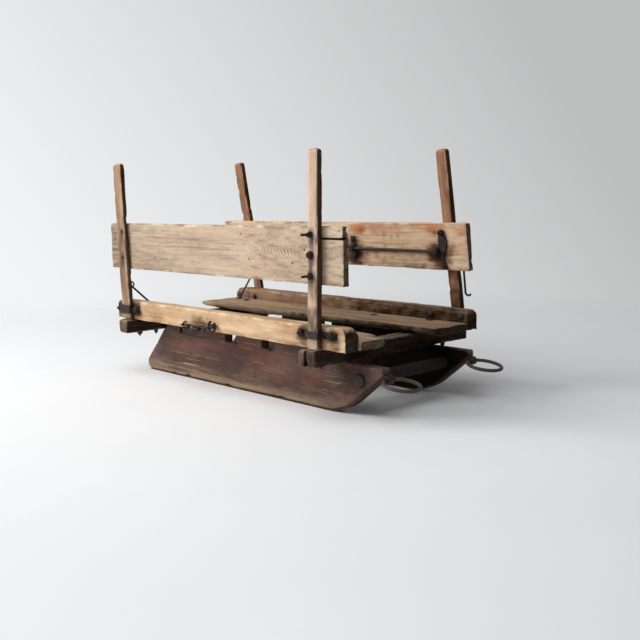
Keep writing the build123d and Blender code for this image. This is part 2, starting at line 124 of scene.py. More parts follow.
class Graph:
    """Short calls that add shader nodes to one node tree and link them."""

    def __init__(self, tree):
        self.tree = tree

    def add(self, kind, inputs=(), **settings):
        made = self.tree.nodes.new(kind)
        for key, value in settings.items():
            setattr(made, key, value)
        for key, value in dict(inputs).items():
            self.feed(made.inputs[key], value)
        return made

    def feed(self, socket, value):
        if isinstance(value, bpy.types.NodeSocket):
            self.tree.links.new(value, socket)
        else:
            socket.default_value = value

    def math(self, operation, first, second=0.0, third=0.0):
        made = self.add("ShaderNodeMath", {0: first, 1: second, 2: third}, operation=operation)
        return made.outputs[0]

    def linear(self, value, factor, offset):
        return self.math("MULTIPLY_ADD", value, factor, offset)

    def times(self, first, second):
        return self.math("MULTIPLY", first, second)

    def split(self, vector):
        return self.add("ShaderNodeSeparateXYZ", {0: vector}).outputs

    def scaled(self, vector, factors):
        made = self.add("ShaderNodeVectorMath", {0: vector, 1: factors}, operation="MULTIPLY")
        return made.outputs[0]

    def noise(self, vector, kind, distortion=0.0):
        along, across, detail, roughness = kind
        inputs = {"Vector": self.scaled(vector, (along, across, across)), "Scale": 1.0}
        inputs.update({"Detail": detail, "Roughness": roughness, "Distortion": distortion})
        return self.add("ShaderNodeTexNoise", inputs).outputs["Fac"]

    def window(self, value, low, high):
        """0 below low, 1 above high and smooth between; the other way round if low is the larger."""
        inputs = {"Value": value, "From Min": low, "From Max": high}
        made = self.add("ShaderNodeMapRange", inputs, interpolation_type="SMOOTHSTEP")
        return made.outputs[0]

    def mix(self, factor, first, second):
        made = self.add("ShaderNodeMix", data_type="RGBA")
        self.feed(made.inputs[0], factor)
        self.feed(made.inputs[6], first)
        self.feed(made.inputs[7], second)
        return made.outputs[2]

    def coat(self, colour, mask, share, paint):
        """Lays a display colour over another through a mask, up to a share."""
        return self.mix(self.times(mask, share), colour, tone(*paint))

    def shade(self, colour, value, low, high):
        """Multiplies a colour by a grey that goes from low to high with the value."""
        grey = self.add("ShaderNodeMapRange", {"Value": value, "To Min": low, "To Max": high}).outputs[0]
        if not isinstance(colour, bpy.types.NodeSocket):
            colour = colour[:3]
        return self.scaled(colour, grey)


class Finish(Graph):
    """The graph of one material with a principled shader."""

    def __init__(self, name):
        self.material = bpy.data.materials.new(name)
        self.material.use_nodes = True
        super().__init__(self.material.node_tree)
        self.shader = self.tree.nodes["Principled BSDF"]

    def done(self, colour, roughness, height, depth, specular=0.3, metallic=0.0):
        bump = self.add("ShaderNodeBump", {"Height": height, "Strength": 1.0, "Distance": depth})
        values = {"Base Color": colour, "Roughness": roughness, "Normal": bump.outputs[0]}
        values.update({"Specular IOR Level": specular, "Metallic": metallic})
        for key, value in values.items():
            self.feed(self.shader.inputs[key], value)
        return self.material


def timber_layers(g):
    """What timber carries on its vertices: grain, worn edge, dirt and painted shade, rust and how plainly
    the grain shows.
    """
    grain = g.add("ShaderNodeAttribute", attribute_name="grain").outputs["Vector"]
    marks = g.add("ShaderNodeAttribute", attribute_name="marks").outputs
    parts = g.add("ShaderNodeSeparateColor", {0: marks["Color"]}).outputs
    return grain, parts[0], parts[1], parts[2], marks["Alpha"]


def broken_up(g, mark, spread, strength=6.0):
    """Breaks up a mark where it is half strong, and leaves it where it is clear or full."""
    middle = g.times(mark, g.math("SUBTRACT", 1.0, mark))
    change = g.linear(spread, strength, -strength / 2)
    return g.add("ShaderNodeClamp", {0: g.linear(middle, change, mark)}).outputs[0]


def growth_rings(g, grain, tree, slope, gap, wander):
    """Waves of rings round a trunk axis that runs slightly across the grain."""
    drift = g.noise(grain, RING_DRIFT)
    along, across, through = g.split(grain)
    offset = g.linear(drift, wander, -wander / 2 - tree[0])
    side = g.math("ADD", across, g.linear(along, slope[0], offset))
    deep = g.math("ADD", through, g.linear(along, slope[1], -tree[1]))
    radius = g.math("SQRT", g.math("ADD", g.times(side, side), g.times(deep, deep)))
    return g.math("SINE", g.times(radius, 2 * pi / gap))


def wood(name, pale, mid, dark, weather, weathered, checks, smudge, smudged=0.45, streaks=0.55,
         rings=0.35, ring_gap=0.004, tree=(0.02, -0.07), slope=(0.015, 0.03), grime_and_shade=(24, 16, 10),
         rust=(132, 76, 46), worn=(222, 204, 176)):
    """Bare weathered wood with rings, fibres, drying checks, smudges and the marks on its vertices."""
    edge_share = 0.75
    ring_wander = 20 * MM
    g = Finish(name)
    grain, edge, dirt_and_shade, iron, plain = timber_layers(g)
    wave = growth_rings(g, grain, tree, slope, ring_gap, ring_wander)
    plain = g.times(plain, g.window(g.noise(grain, RING_BREAK), 0.38, 0.6))
    band = g.times(g.window(wave, 0.0, 0.9), plain)
    chip = g.times(g.window(wave, -0.55, -0.95), g.window(plain, 0.6, 1.0))
    fibre = g.noise(grain, FIBRE)
    streak = g.noise(grain, STREAK)
    blotch = g.noise(grain, BLOTCH)
    colour = g.mix(g.window(blotch, 0.35, 0.65), tone(*pale), tone(*mid))
    patch = g.window(g.noise(grain, WEATHER_PATCH), 0.46, 0.64)
    colour = g.coat(colour, patch, weathered, weather)
    colour = g.coat(colour, g.window(streak, 0.48, 0.7), streaks, dark)
    colour = g.coat(colour, band, rings, dark)
    colour = g.coat(colour, chip, 0.6, worn)
    colour = g.shade(colour, fibre, 0.7, 1.3)
    soiled = g.window(g.noise(grain, SOILING), 0.52, 0.7)
    colour = g.coat(colour, soiled, smudged, smudge)
    check = g.window(g.noise(grain, DRYING_CHECK), 0.685, 0.75)
    colour = g.coat(colour, check, checks, grime_and_shade)
    chance = g.noise(grain, EDGE_CHANCE)
    colour = g.coat(colour, g.times(edge, g.window(chance, 0.5, 0.6)), edge_share, worn)
    colour = g.coat(colour, g.times(edge, g.window(chance, 0.48, 0.36)), edge_share, smudge)
    spread = g.noise(grain, STAIN_SPREAD)
    iron = broken_up(g, iron, spread, 9.0)
    dirt_and_shade = broken_up(g, dirt_and_shade, spread)
    colour = g.mix(iron, colour, tone(*rust))
    # Dirt and painted shade, in the grime colour
    colour = g.mix(dirt_and_shade, colour, tone(*grime_and_shade))
    rough = g.linear(fibre, 0.3, 0.6)
    relief = g.linear(band, 0.4, g.times(fibre, 0.8))
    relief = g.math("SUBTRACT", relief, check)
    gloss = g.linear(dirt_and_shade, -0.1, 0.12)
    return g.done(colour, rough, relief, 0.8 * MM, specular=gloss)


def painted_wood(name):
    """Old dark paint: red patches, streaks rubbed pale, scratches and bare worn edges."""
    brown, umber, oxide = (108, 83, 74), (76, 58, 52), (118, 70, 59)
    grey_wood, pale_wood = (100, 82, 70), (178, 150, 122)
    scratched, scuffed = (186, 154, 118), (138, 112, 94)
    soaked, dirt_and_shade_colour = (56, 42, 38), (12, 9, 8)
    g = Finish(name)
    grain, edge, dirt_and_shade, red, rub = timber_layers(g)
    fibre = g.noise(grain, PAINT_FIBRE)
    streak = g.noise(grain, PAINT_STREAK)
    cloud = g.noise(grain, PAINT_CLOUD)
    colour = g.mix(g.window(cloud, 0.36, 0.66), tone(*brown), tone(*umber))
    red = broken_up(g, red, streak, 9.0)
    colour = g.coat(colour, red, 0.8, oxide)
    colour = g.shade(colour, fibre, 0.45, 1.55)
    bare = g.mix(streak, tone(*grey_wood), tone(*pale_wood))
    rubbed = g.window(g.math("ADD", rub, g.linear(streak, 1.7, -1.05)), 0.25, 0.95)
    colour = g.mix(g.times(rubbed, 0.8), colour, bare)
    scratch = g.window(g.noise(grain, SCRATCH, distortion=0.5), 0.60, 0.69)
    scratch = g.times(scratch, g.window(g.noise(grain, SCRATCHED_AREA), 0.45, 0.62))
    colour = g.coat(colour, scratch, 0.65, scratched)
    scuff = g.window(g.noise(grain, SCUFF), 0.5, 0.72)
    colour = g.coat(colour, scuff, 0.5, scuffed)
    stainy = g.window(g.noise(grain, DARK_PATCH), 0.52, 0.7)
    colour = g.coat(colour, stainy, 0.5, soaked)
    ragged = g.math("ADD", edge, g.linear(g.noise(grain, BARE_EDGE), 0.9, -0.5))
    bared = g.window(ragged, 0.45, 0.75)
    colour = g.mix(g.times(bared, 0.85), colour, bare)
    # Dirt and painted shade, near-black
    colour = g.mix(dirt_and_shade, colour, tone(*dirt_and_shade_colour))
    bareness = g.math("MAXIMUM", bared, rubbed)
    rough = g.linear(bareness, 0.2, g.linear(fibre, 0.25, 0.45))
    relief = g.linear(bared, -0.5, g.times(fibre, 0.7))
    relief = g.linear(scratch, -0.6, relief)
    gloss = g.linear(dirt_and_shade, -0.1, 0.12)
    return g.done(colour, rough, relief, 0.7 * MM, specular=gloss)


def forged_iron(name, base, rust, rust_share, shine, metal=0.7):
    """Dark forged iron: blotched scale, patches of rust, fine pits. Wood, not iron, where metal is 0."""
    g = Finish(name)
    place = g.add("ShaderNodeTexCoord").outputs["Object"]
    scale = g.noise(place, IRON_BLOTCH)
    pits = g.noise(place, IRON_PIT)
    colour = g.shade(tone(*base), scale, 0.45, 1.6)
    rusted = g.window(g.noise(place, RUST_PATCH), 0.45, 0.62)
    colour = g.coat(colour, rusted, rust_share, rust)
    rough = g.linear(scale, 0.35, shine)
    rough = g.linear(rusted, 0.2, rough)
    metallic = g.times(g.linear(rusted, -0.7, 1.0), metal)
    relief = g.linear(pits, 0.4, scale)
    return g.done(colour, rough, relief, 0.5 * MM, metallic=metallic)


# Dark colour of dirt and of painted shade on the stakes' +x sides
STAKE_GRIME_AND_SHADE = (46, 28, 17)

# Finishes by name. Woods first give pale, middle, dark and weathered colours and the weathered share.
MATERIALS = {
    "rail_right": wood(
        "honey_wood", (226, 194, 156), (208, 170, 130), (150, 110, 78), (180, 148, 120), 0.55,
        rings=0.22, ring_gap=0.008, checks=0.45, worn=(240, 226, 202), smudge=(176, 122, 84), smudged=0.6,
        streaks=0.3),
    "rail_left": wood(
        "grey_rail_wood", (160, 129, 101), (136, 104, 80), (88, 62, 46), (138, 112, 90), 0.5,
        checks=0.9, worn=(172, 154, 130), smudge=(120, 72, 54), smudged=0.85),
    "plank_left": wood(
        "olive_plank_wood", (172, 147, 119), (148, 122, 97), (99, 77, 59), (145, 124, 100), 0.5,
        checks=0.9, worn=(164, 147, 124), smudge=(102, 82, 65), smudged=0.55),
    "plank_right": wood(
        "worn_plank_wood", (214, 190, 157), (189, 160, 128), (124, 98, 75), (170, 146, 119), 0.5,
        checks=0.9, worn=(214, 196, 168), smudge=(96, 76, 60), smudged=0.8),
    "board_right": wood(
        "pale_board_wood", (211, 188, 163), (195, 170, 144), (124, 97, 78), (168, 146, 127), 0.55,
        rings=0.52, ring_gap=0.003, tree=(0.012, -0.16), slope=(0.008, -0.02), checks=0.5,
        worn=(234, 220, 198), smudge=(136, 109, 92)),
    "board_left": wood(
        "stained_board_wood", (222, 195, 165), (206, 174, 143), (132, 97, 70), (192, 162, 134), 0.4,
        rings=0.3, tree=(0.03, -0.08), slope=(-0.01, 0.04), checks=0.4, rust=(184, 108, 64),
        smudge=(168, 118, 86), smudged=0.7),
    "stake_right": wood(
        "tan_stake_wood", (226, 198, 173), (210, 180, 154), (152, 120, 96), (186, 158, 138), 0.4,
        rings=0.25, grime_and_shade=STAKE_GRIME_AND_SHADE, checks=0.6, smudge=(150, 122, 104), smudged=0.3, rust=(126, 104, 92)),
    "stake_rear": wood(
        "worn_stake_wood", (192, 160, 131), (168, 135, 107), (112, 83, 62), (140, 114, 94), 0.5,
        rings=0.25, grime_and_shade=STAKE_GRIME_AND_SHADE, checks=0.7, smudge=(110, 84, 68), rust=(112, 88, 76)),
    "stake_left": wood(
        "brown_stake_wood", (176, 132, 102), (148, 106, 80), (80, 55, 40), (122, 92, 72), 0.5,
        rings=0.3, grime_and_shade=STAKE_GRIME_AND_SHADE, checks=0.8, worn=(200, 164, 134), smudge=(84, 58, 45), smudged=0.6),
    "bolster": wood(
        "bolster_wood", (128, 107, 92), (100, 81, 68), (62, 47, 37), (110, 94, 82), 0.5,
        rings=0.3, checks=0.9, worn=(158, 140, 120), smudge=(66, 50, 39), smudged=0.7),
    "paint": painted_wood("worn_dark_paint"),
    "shoe_iron": forged_iron("shoe_iron", (54, 45, 40), (86, 60, 45), 0.7, 0.5),
    "ring_iron": forged_iron("ring_iron", (74, 66, 62), (88, 68, 57), 0.5, 0.4),
    "black_iron": forged_iron("black_iron", (47, 43, 42), (80, 56, 44), 0.5, 0.38),
    # The rung's near-black is painted shade from the deck above it; its end on the runner's face is lighter
    "rung": forged_iron("shade_dark_rung", (24, 20, 18), (34, 27, 23), 0.6, 0.7, metal=0.0),
    "rung_end": forged_iron("rubbed_rung_end", (76, 62, 55), (62, 47, 40), 0.5, 0.65, metal=0.0),
}


# Worn timber

def placed(name, data):
    """A new object in the scene."""
    made = bpy.data.objects.new(name, data)
    bpy.context.scene.collection.objects.link(made)
    return made


def welded(node):
    """A copy of a node's mesh with its doubled corners joined."""
    bm = bmesh.new()
    bm.from_mesh(nodes[node].data)
    bmesh.ops.remove_doubles(bm, verts=bm.verts, dist=1e-6)
    return bm


def piece_axes(node, along_hint, across_hint):
    """Unit axes of a flat-sided node: along its longest edge, across it, and through its largest face."""
    bm = welded(node)
    bmesh.ops.dissolve_limit(bm, angle_limit=radians(1), verts=bm.verts, edges=bm.edges)
    edge = max(bm.edges, key=lambda e: e.calc_length())
    along = (edge.verts[1].co - edge.verts[0].co).normalized()
    through = max(bm.faces, key=lambda f: f.calc_area()).normal.copy()
    bm.free()
    along = along if along.dot(along_hint) > 0 else -along
    through = through if through.dot(along_hint.cross(across_hint)) > 0 else -through
    return along, through.cross(along).normalized(), through


def piece_frame(node, along_hint, across_hint):
    """Matrix at the middle of a node, turned to its axes, and its size along them."""
    axes = piece_axes(node, along_hint, across_hint)
    points = np.array([v.co for v in nodes[node].data.vertices])
    spans = [points @ np.array(axis) for axis in axes]
    middle = sum((axis * float((s.max() + s.min()) / 2) for axis, s in zip(axes, spans)), Vector())
    turn = Matrix(axes).transposed().to_4x4()
    return Matrix.Translation(middle) @ turn, [float(s.max() - s.min()) for s in spans]


def grid_lines(size, step, edge_round, extra):
    """Places across one side of a block, closer together inside its rounded edges."""
    half = size / 2
    inner = half - edge_round
    count = max(1, round(2 * inner / step))
    rim = [half, half - 0.3 * edge_round]
    places = [-inner + 2 * inner * i / count for i in range(count + 1)]
    places += rim + [-r for r in rim] + list(extra)
    return sorted(set(round(p, 7) for p in places))


def rounded(point, halves, edge_round):
    """The point of a box's surface, moved onto the same box with rounded edges."""
    core = [max(-(h - edge_round), min(h - edge_round, p)) for p, h in zip(point, halves)]
    reach = sqrt(sum((p - c) ** 2 for p, c in zip(point, core)))
    if reach < 1e-9:
        return tuple(point)
    return tuple(c + (p - c) * edge_round / reach for p, c in zip(point, core))


def block(size, steps, edge_round, extra_along, slit):
    """Points and quads of a rounded box, with steps in mm. A slit (start, low, high) opens its far end."""
    extra = [list(extra_along), [], []]
    if slit:
        extra[0].append(slit[0])
        extra[1].extend(slit[1:])
    axes = [grid_lines(size[k], steps[k] * MM, edge_round, extra[k]) for k in range(3)]
    last = [len(axis) - 1 for axis in axes]
    halves = [s / 2 for s in size]
    index, points, quads = {}, [], []

    def vertex(key):
        if key not in index:
            index[key] = len(points)
            points.append(rounded([axes[k][key[k]] for k in range(3)], halves, edge_round))
        return index[key]

    def quad(fixed, level, first, second, low_side):
        i, j = (fixed + 1) % 3, (fixed + 2) % 3
        corners = [(first, second), (first + 1, second), (first + 1, second + 1), (first, second + 1)]
        keys = []
        for a, b in reversed(corners) if low_side else corners:
            key = [0, 0, 0]
            key[fixed], key[i], key[j] = level, a, b
            keys.append(tuple(key))
        quads.append([vertex(key) for key in keys])

    if slit:
        start, low, high = (axes[k].index(round(p, 7)) for k, p in zip((0, 1, 1), slit))
        for j in range(last[2]):
            for i in range(start, last[0]):
                quad(1, low, j, i, False)
                quad(1, high, j, i, True)
            for i in range(low, high):
                quad(0, start, i, j, False)
    for fixed in range(3):
        i, j = (fixed + 1) % 3, (fixed + 2) % 3
        for level in (0, last[fixed]):
            for a in range(last[i]):
                for b in range(last[j]):
                    on_face = slit and fixed == 2 and a >= start and low <= b < high
                    on_end = slit and fixed == 0 and level and low <= a < high
                    if not on_face and not on_end:
                        quad(fixed, level, a, b, level == 0)
    return np.array(points), quads


def smooth(value, low, high):
    """0 below low, 1 above high and smooth between."""
    share = np.clip((value - low) / (high - low), 0, 1)
    return share * share * (3 - 2 * share)


def edge_distance(points, size):
    """Distance of block points from the nearest edge and from the nearer end."""
    gaps = np.sort(np.array(size) / 2 - np.abs(points), axis=1)
    return gaps[:, 1], size[0] / 2 - np.abs(points[:, 0])


def field(points, factors, shift, octaves=2):
    """Smooth seeded noise, mostly from -1 to 1, at each point."""
    offset = Vector((shift * 17.31, shift * 5.77, shift * 9.13))
    scaled = points * np.array(factors)
    return np.array([noise.fractal(Vector(p) + offset, 0.9, 2.1, octaves) for p in scaled])


def mesh_normals(mesh):
    return np.array([v.normal for v in mesh.vertices])


def stained(mesh, stains, seed):
    """Dirt, painted shade and rust at each vertex from round spots that run downward on the side they face.
    """
    world = np.array([v.co for v in mesh.vertices])
    normals = mesh_normals(mesh)
    ragged = 1 + 0.4 * field(world, STAIN_RIM, seed, 3)
    dirt_and_shade = np.zeros(len(world))
    rust = np.zeros(len(world))
    for centre, radius, drop, long, dirt_and_shade_share, rust_share, facing in stains:
        offset = world - np.array(centre)
        offset[:, 0] /= long
        below = offset[:, 2] < 0
        offset[below, 2] *= radius / (radius + drop)
        fade = 1 - smooth(np.sqrt((offset**2).sum(axis=1)) * ragged, 0.2 * radius, radius)
        fade *= smooth(normals @ np.array(facing), -0.2, 0.5)
        dirt_and_shade = np.maximum(dirt_and_shade, dirt_and_shade_share * fade)
        rust = np.maximum(rust, rust_share * fade)
    return dirt_and_shade, rust


def timber(name, node, finish, hints, steps, edge_round, seed, end_darkening, front_shade_and_dirt=0.0, shape=None,
           wander=1.2, chips=4, extra_along=(), slit=None, edge_marks=None, grain_plain=None,
           warp=None, shaded_crack=None):
    """A worn wooden piece that stands for a CAD node. Steps, edge round, wander and chips are in mm."""
    edge_reach, edge_wear = 9 * MM, 0.6
    place, size = piece_frame(node, *hints)
    points, quads = block(size, steps, edge_round * MM, extra_along, slit)
    to_edge, to_end = edge_distance(points, size)
    shaped = shape(points.copy(), size) if shape else points.copy()
    mesh = bpy.data.meshes.new(name)
    mesh.from_pydata(shaped.tolist(), [], quads)
    mesh.update()
    near_edge = 1 - smooth(to_edge, 0, edge_reach)
    swell = field(shaped, SWELL, seed) * wander
    dents = np.clip(field(shaped, DENT, seed + 1) - 0.15, 0, None)
    bite = np.clip(field(shaped, CHIP, seed + 2, 3) - 0.28, 0, None)
    depth = swell - dents * 0.5 * wander - near_edge * (bite * 3 * chips + edge_wear)
    moved = shaped + mesh_normals(mesh) * depth[:, None] * MM
    mesh.vertices.foreach_set("co", moved.astype(np.float32).ravel())
    mesh.transform(place)
    mesh.polygons.foreach_set("use_smooth", [True] * len(mesh.polygons))
    mesh.update()
    grain = shaped + np.array([seed * 0.37, 0.0, 0.0])
    if warp:
        grain[:, 2] += warp(shaped)
    layer = mesh.attributes.new("grain", "FLOAT_VECTOR", "POINT")
    layer.data.foreach_set("vector", grain.astype(np.float32).ravel())
    dirt_and_shade, rust = stained(mesh, STAINS, seed)
    # Painted shade, with some dirt, on the sides that face +x, away from the lamps
    shaded = front_shade_and_dirt * smooth(mesh_normals(mesh)[:, 0], 0.5, 0.9)
    marks = np.zeros((len(points), 4))
    marks[:, 0] = edge_marks(shaped, size, near_edge) if edge_marks else near_edge
    # Dark marks: dirt and painted shade from the spots, painted shade and dirt on the +x sides, and darker
    # ends
    marks[:, 1] = np.maximum.reduce([dirt_and_shade, shaded, end_darkening * (1 - smooth(to_end, 0.2 * MM, 2.5 * MM))])
    # Painted shade inside the board's split
    if shaded_crack:
        marks[:, 1] = np.maximum(marks[:, 1], 0.96 * shaded_crack(points))
    marks[:, 2] = rust
    marks[:, 3] = grain_plain(shaped) if grain_plain else 0.5
    layer = mesh.attributes.new("marks", "FLOAT_COLOR", "POINT")
    layer.data.foreach_set("color", marks.astype(np.float32).ravel())
    mesh.materials.append(MATERIALS[finish])
    piece = placed(name, mesh)
    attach(piece, "sled")
    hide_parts(node)


# Places of the bolts, which also stain the wood round them

STRAP_THICK = 3.5 * MM
STRAPS = [f"stake_strap_{end}_{side}" for end in ("front", "rear") for side in ("right", "left")]


def strap_ears(node):
    """Bolt places on the outer faces of a strap's two ears, and the outward direction."""
    low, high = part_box(node)
    side = 1 if low.y + high.y > 0 else -1
    face = (low.y if side > 0 else high.y) + side * STRAP_THICK
    height = (low.z + high.z) / 2
    inset = 13 * MM
    return [Vector((low.x + inset, face, height)), Vector((high.x - inset, face, height))], AXIS_Y * side


front_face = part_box("stake_front_right")[0].y
rear_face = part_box("stake_rear_right")[0].y
STAKE_BOLTS = [Vector((0.3625, front_face, height)) for height in (0.4525, 0.404, 0.354)]
REAR_STAKE_BOLTS = [Vector((-0.484, rear_face, height)) for height in (0.446, 0.366)]

STAINS = []


def stain(centre, radius, dirt_and_shade, rust, facing=-AXIS_Y, drop=0.0, long=1.0):
    """Keeps a spot: centre, radius, strengths, the side it is on, smear downward and stretch along x."""
    STAINS.append((Vector(centre), radius, drop, long, dirt_and_shade, rust, facing))


for strap in STRAPS:
    ears, outward = strap_ears(strap)
    for ear in ears:
        stain(ear, 0.034, 0.85, 0.5, outward, drop=0.014)
        stain(ear, 0.024, 0.85, 0.5, -outward, drop=0.014)
for bolt in STAKE_BOLTS + REAR_STAKE_BOLTS:
    stain(bolt, 0.018, 0.45, 0.8, drop=0.035)
for side, inward in (("left", -AXIS_Y), ("right", AXIS_Y)):
    for hardware in ("pivot_plate", "rod_keeper"):
        low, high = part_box(f"{hardware}_{side}")
        stain((low + high) / 2 - AXIS_Z * 0.015, 0.068, 0.95, 0.6, inward, drop=0.03)

# Faces with stains, as y: the right side's outer faces and the left board's inner face
RUNNER_FACE, RAIL_FACE, STAKE_FACE, LEFT_BOARD_FACE = -0.193, -0.275, -0.294, 0.198

# Orange stains on the left board's inner face: x, z, radius, strength
for x, z, radius, strength in [
    (0.05, 0.448, 0.028, 0.9), (0.12, 0.452, 0.022, 0.5), (0.205, 0.45, 0.028, 0.5),
    (0.285, 0.452, 0.022, 0.4), (0.34, 0.452, 0.026, 0.8), (0.434, 0.446, 0.022, 0.6),
    (0.43, 0.39, 0.026, 0.55), (0.11, 0.388, 0.022, 0.6), (0.185, 0.376, 0.02, 0.5),
    (0.42, 0.352, 0.024, 0.45),
]:
    stain((x, LEFT_BOARD_FACE, z), radius, 0.0, 0.85 * strength, long=2.0)

# Red paint left on the right runner's outer face: x, z, radius, strength
for x, z, radius, strength in [
    (-0.19, 0.112, 0.05, 0.5), (-0.06, 0.122, 0.055, 0.55), (0.06, 0.098, 0.045, 0.45),
    (0.244, 0.07, 0.035, 0.45), (0.12, 0.06, 0.03, 0.35), (-0.33, 0.1, 0.045, 0.4),
]:
    stain((x, RUNNER_FACE, z), radius, 0.0, strength, long=3.2)

# Reddish and smoky places on the right rail: x, z, radius, dirt, rust
for x, z, radius, dirt_and_shade, rust in [
    (-0.33, 0.186, 0.03, 0.0, 0.4), (0.15, 0.184, 0.03, 0.0, 0.3), (-0.545, 0.205, 0.045, 0.93, 0.2),
    (-0.11, 0.186, 0.036, 0.7, 0.4), (0.425, 0.216, 0.018, 0.4, 0.3), (-0.44, 0.218, 0.024, 0.75, 0.2),
]:
    stain((x, RAIL_FACE, z), radius, dirt_and_shade, rust, long=1.7)

# Painted shade on the runners' inner faces, under the deck
stain((0.34, 0.141, 0.10), 0.34, 0.97, 0.0, long=2.0)
stain((0.30, -0.165, 0.10), 0.30, 0.8, 0.0, AXIS_Y, long=2.0)

# Smoky lower part of the front right stake, and dark paint round the rung
stain((0.37, STAKE_FACE, 0.25), 0.05, 0.45, 0.6, drop=0.05)
stain((0.36, STAKE_FACE, 0.32), 0.05, 0.3, 0.4)
stain((0.40, RUNNER_FACE, 0.10), 0.07, 0.5, 0.0, long=1.3)

# Weathered rear ends of the boards
stain((-0.60, RAIL_FACE, 0.40), 0.16, 0.55, 0.0, long=1.3)
stain((-0.45, RAIL_FACE, 0.38), 0.26, 0.22, 0.0, long=1.3)
stain((-0.59, 0.205, 0.40), 0.10, 0.4, 0.2, long=1.2)


# Shapes of single pieces, in their own axes: along, across and through

# Grid steps of the planks and boards, in mm
PLANK_STEPS = (9, 6, 5)


def top_lowered(points, size, lost):
    """Brings a block's upper side down by what is lost there and squeezes the rest."""
    half = size[1] / 2
    share = (points[:, 1] + half) / size[1]
    points[:, 1] = -half + share * (size[1] - lost)


def node_outline(node):
    """Lower and upper edge of a node's side face at any x, and the places of its upright walls."""
    bm = welded(node)
    side_faces = [f for f in bm.faces if f.normal.y > 0.99]
    rim = [e for f in side_faces for e in f.edges if sum(abs(g.normal.y) < 0.9 for g in e.link_faces) == 1]
    spans = [sorted((v.co.x, v.co.z) for v in e.verts) for e in rim]
    bm.free()
    walls = sorted({round(a[0], 5) for a, b in spans if b[0] - a[0] < 1e-5 and abs(a[1] - b[1]) > 0.02})
    spans = [s for s in spans if s[1][0] - s[0][0] > 1e-6]

    def heights(x):
        crossed = [a[1] + (b[1] - a[1]) * (x - a[0]) / (b[0] - a[0]) for a, b in spans if a[0] <= x <= b[0]]
        return min(crossed), max(crossed)

    return heights, walls


def runner_piece(side, seed):
    """A painted plank that follows its node's outline, rubbed bare along the sole."""
    node = f"runner_{side}"
    heights, walls = node_outline(node)
    place, size = piece_frame(node, AXIS_X, AXIS_Z)
    middle = place.translation
    half = size[0] / 2
    near_walls = [w - middle.x + gap for w in walls for gap in (-0.4 * MM, 0.4 * MM)]
    near_ends = [sign * (half - gap * MM) for sign in (-1, 1) for gap in (0.5, 3, 6, 10, 15)]
    extra = [x for x in near_walls + near_ends if abs(x) < half - 0.3 * MM]

    def follow_outline(points, size):
        for point in points:
            inside = max(-half + 0.2 * MM, min(half - 0.2 * MM, point[0]))
            low, high = heights(inside + middle.x)
            share = (point[1] + size[1] / 2) / size[1]
            point[1] = low + (high - low) * share - middle.z
        return points

    def floor_gap(points):
        return points[:, 1] + size[1] / 2

    def sole_marks(points, size, near_edge):
        wear = 1 - smooth(floor_gap(points), 4 * MM, 18 * MM)
        flat = 1 - smooth(points[:, 0], half - 0.26, half - 0.16)
        return np.maximum(0.7 * near_edge, wear * flat)

    def rubbed(points):
        reach = 0.08 - 0.035 * smooth(points[:, 0], -half, half)
        toe = smooth(points[:, 0], half - 0.20, half - 0.05)
        return np.maximum(1 - smooth(floor_gap(points), 5 * MM, reach), 0.15 * toe)

    timber(f"worn_runner_{side}", node, "paint", (AXIS_X, AXIS_Z), (9, 6, 7),
           2.5, seed, shape=follow_outline, extra_along=extra, end_darkening=0.2, edge_marks=sole_marks,
           grain_plain=rubbed)


def rail_piece(side, seed):
    """A square rail with rounded ends and a chamfer along its inner top edge."""
    node = f"rail_{side}"
    inner = -1 if side == "left" else 1
    end_round, chamfer = 20 * MM, 8 * MM

    def round_ends(points, size):
        half = np.array(size) / 2
        gap = np.clip(half[0] - np.abs(points[:, 0]), 0, end_round)
        lost = end_round - np.sqrt(end_round**2 - (end_round - gap) ** 2)
        top_lowered(points, size, lost)
        reach = points[:, 1] + lost - half[1] - inner * points[:, 2] - half[2] + chamfer
        over = np.clip(reach, 0, None) / 2
        points[:, 1] -= over
        points[:, 2] += inner * over
        return points

    timber(f"worn_rail_{side}", node, node, (AXIS_X, AXIS_Z), (9, 5, 5),
           3, seed, shape=round_ends, wander=1.8, chips=5, end_darkening=0.93, front_shade_and_dirt=0.93)


def plank_pieces():
    """The deck planks: the right one broken at the front of its inner edge, the left one cut back below."""
    # Distance from the front end, width lost there
    broken = [(0.0, 26 * MM), (30 * MM, 18 * MM), (75 * MM, 0.0)]
    break_seed = 18.0
    bevel, undercut = 28 * MM, 40 * MM

    def break_corner(points, size):
        gap = size[0] / 2 - points[:, 0]
        ragged = 1 + 0.3 * field(points, BREAK, break_seed)
        lost = np.interp(gap, [b[0] for b in broken], [b[1] for b in broken]) * ragged
        top_lowered(points, size, lost)
        return points

    def cut_back(points, size):
        half = np.array(size) / 2
        below = smooth(1 - (points[:, 2] + half[2]) / size[2], 0.45, 1.0)
        inner = (half[1] - points[:, 1]) / size[1]
        rear = (half[0] - points[:, 0]) / size[0]
        points[:, 1] += bevel * below * inner
        points[:, 0] += undercut * below * rear
        return points

    # Side, shape, edge round, darkening of the ends, painted shade and dirt on the front side, seed
    rows = [("right", break_corner, 2.5, 0.8, 0.75, 13.0), ("left", cut_back, 3, 0.9, 0.9, 14.0)]
    for side, shape, edge_round, end_darkening, front_shade_and_dirt, seed in rows:
        timber(f"worn_plank_{side}", f"deck_plank_{side}", f"plank_{side}", (AXIS_X, AXIS_Y),
               PLANK_STEPS, edge_round, seed, end_darkening, front_shade_and_dirt, shape, wander=2, chips=6)


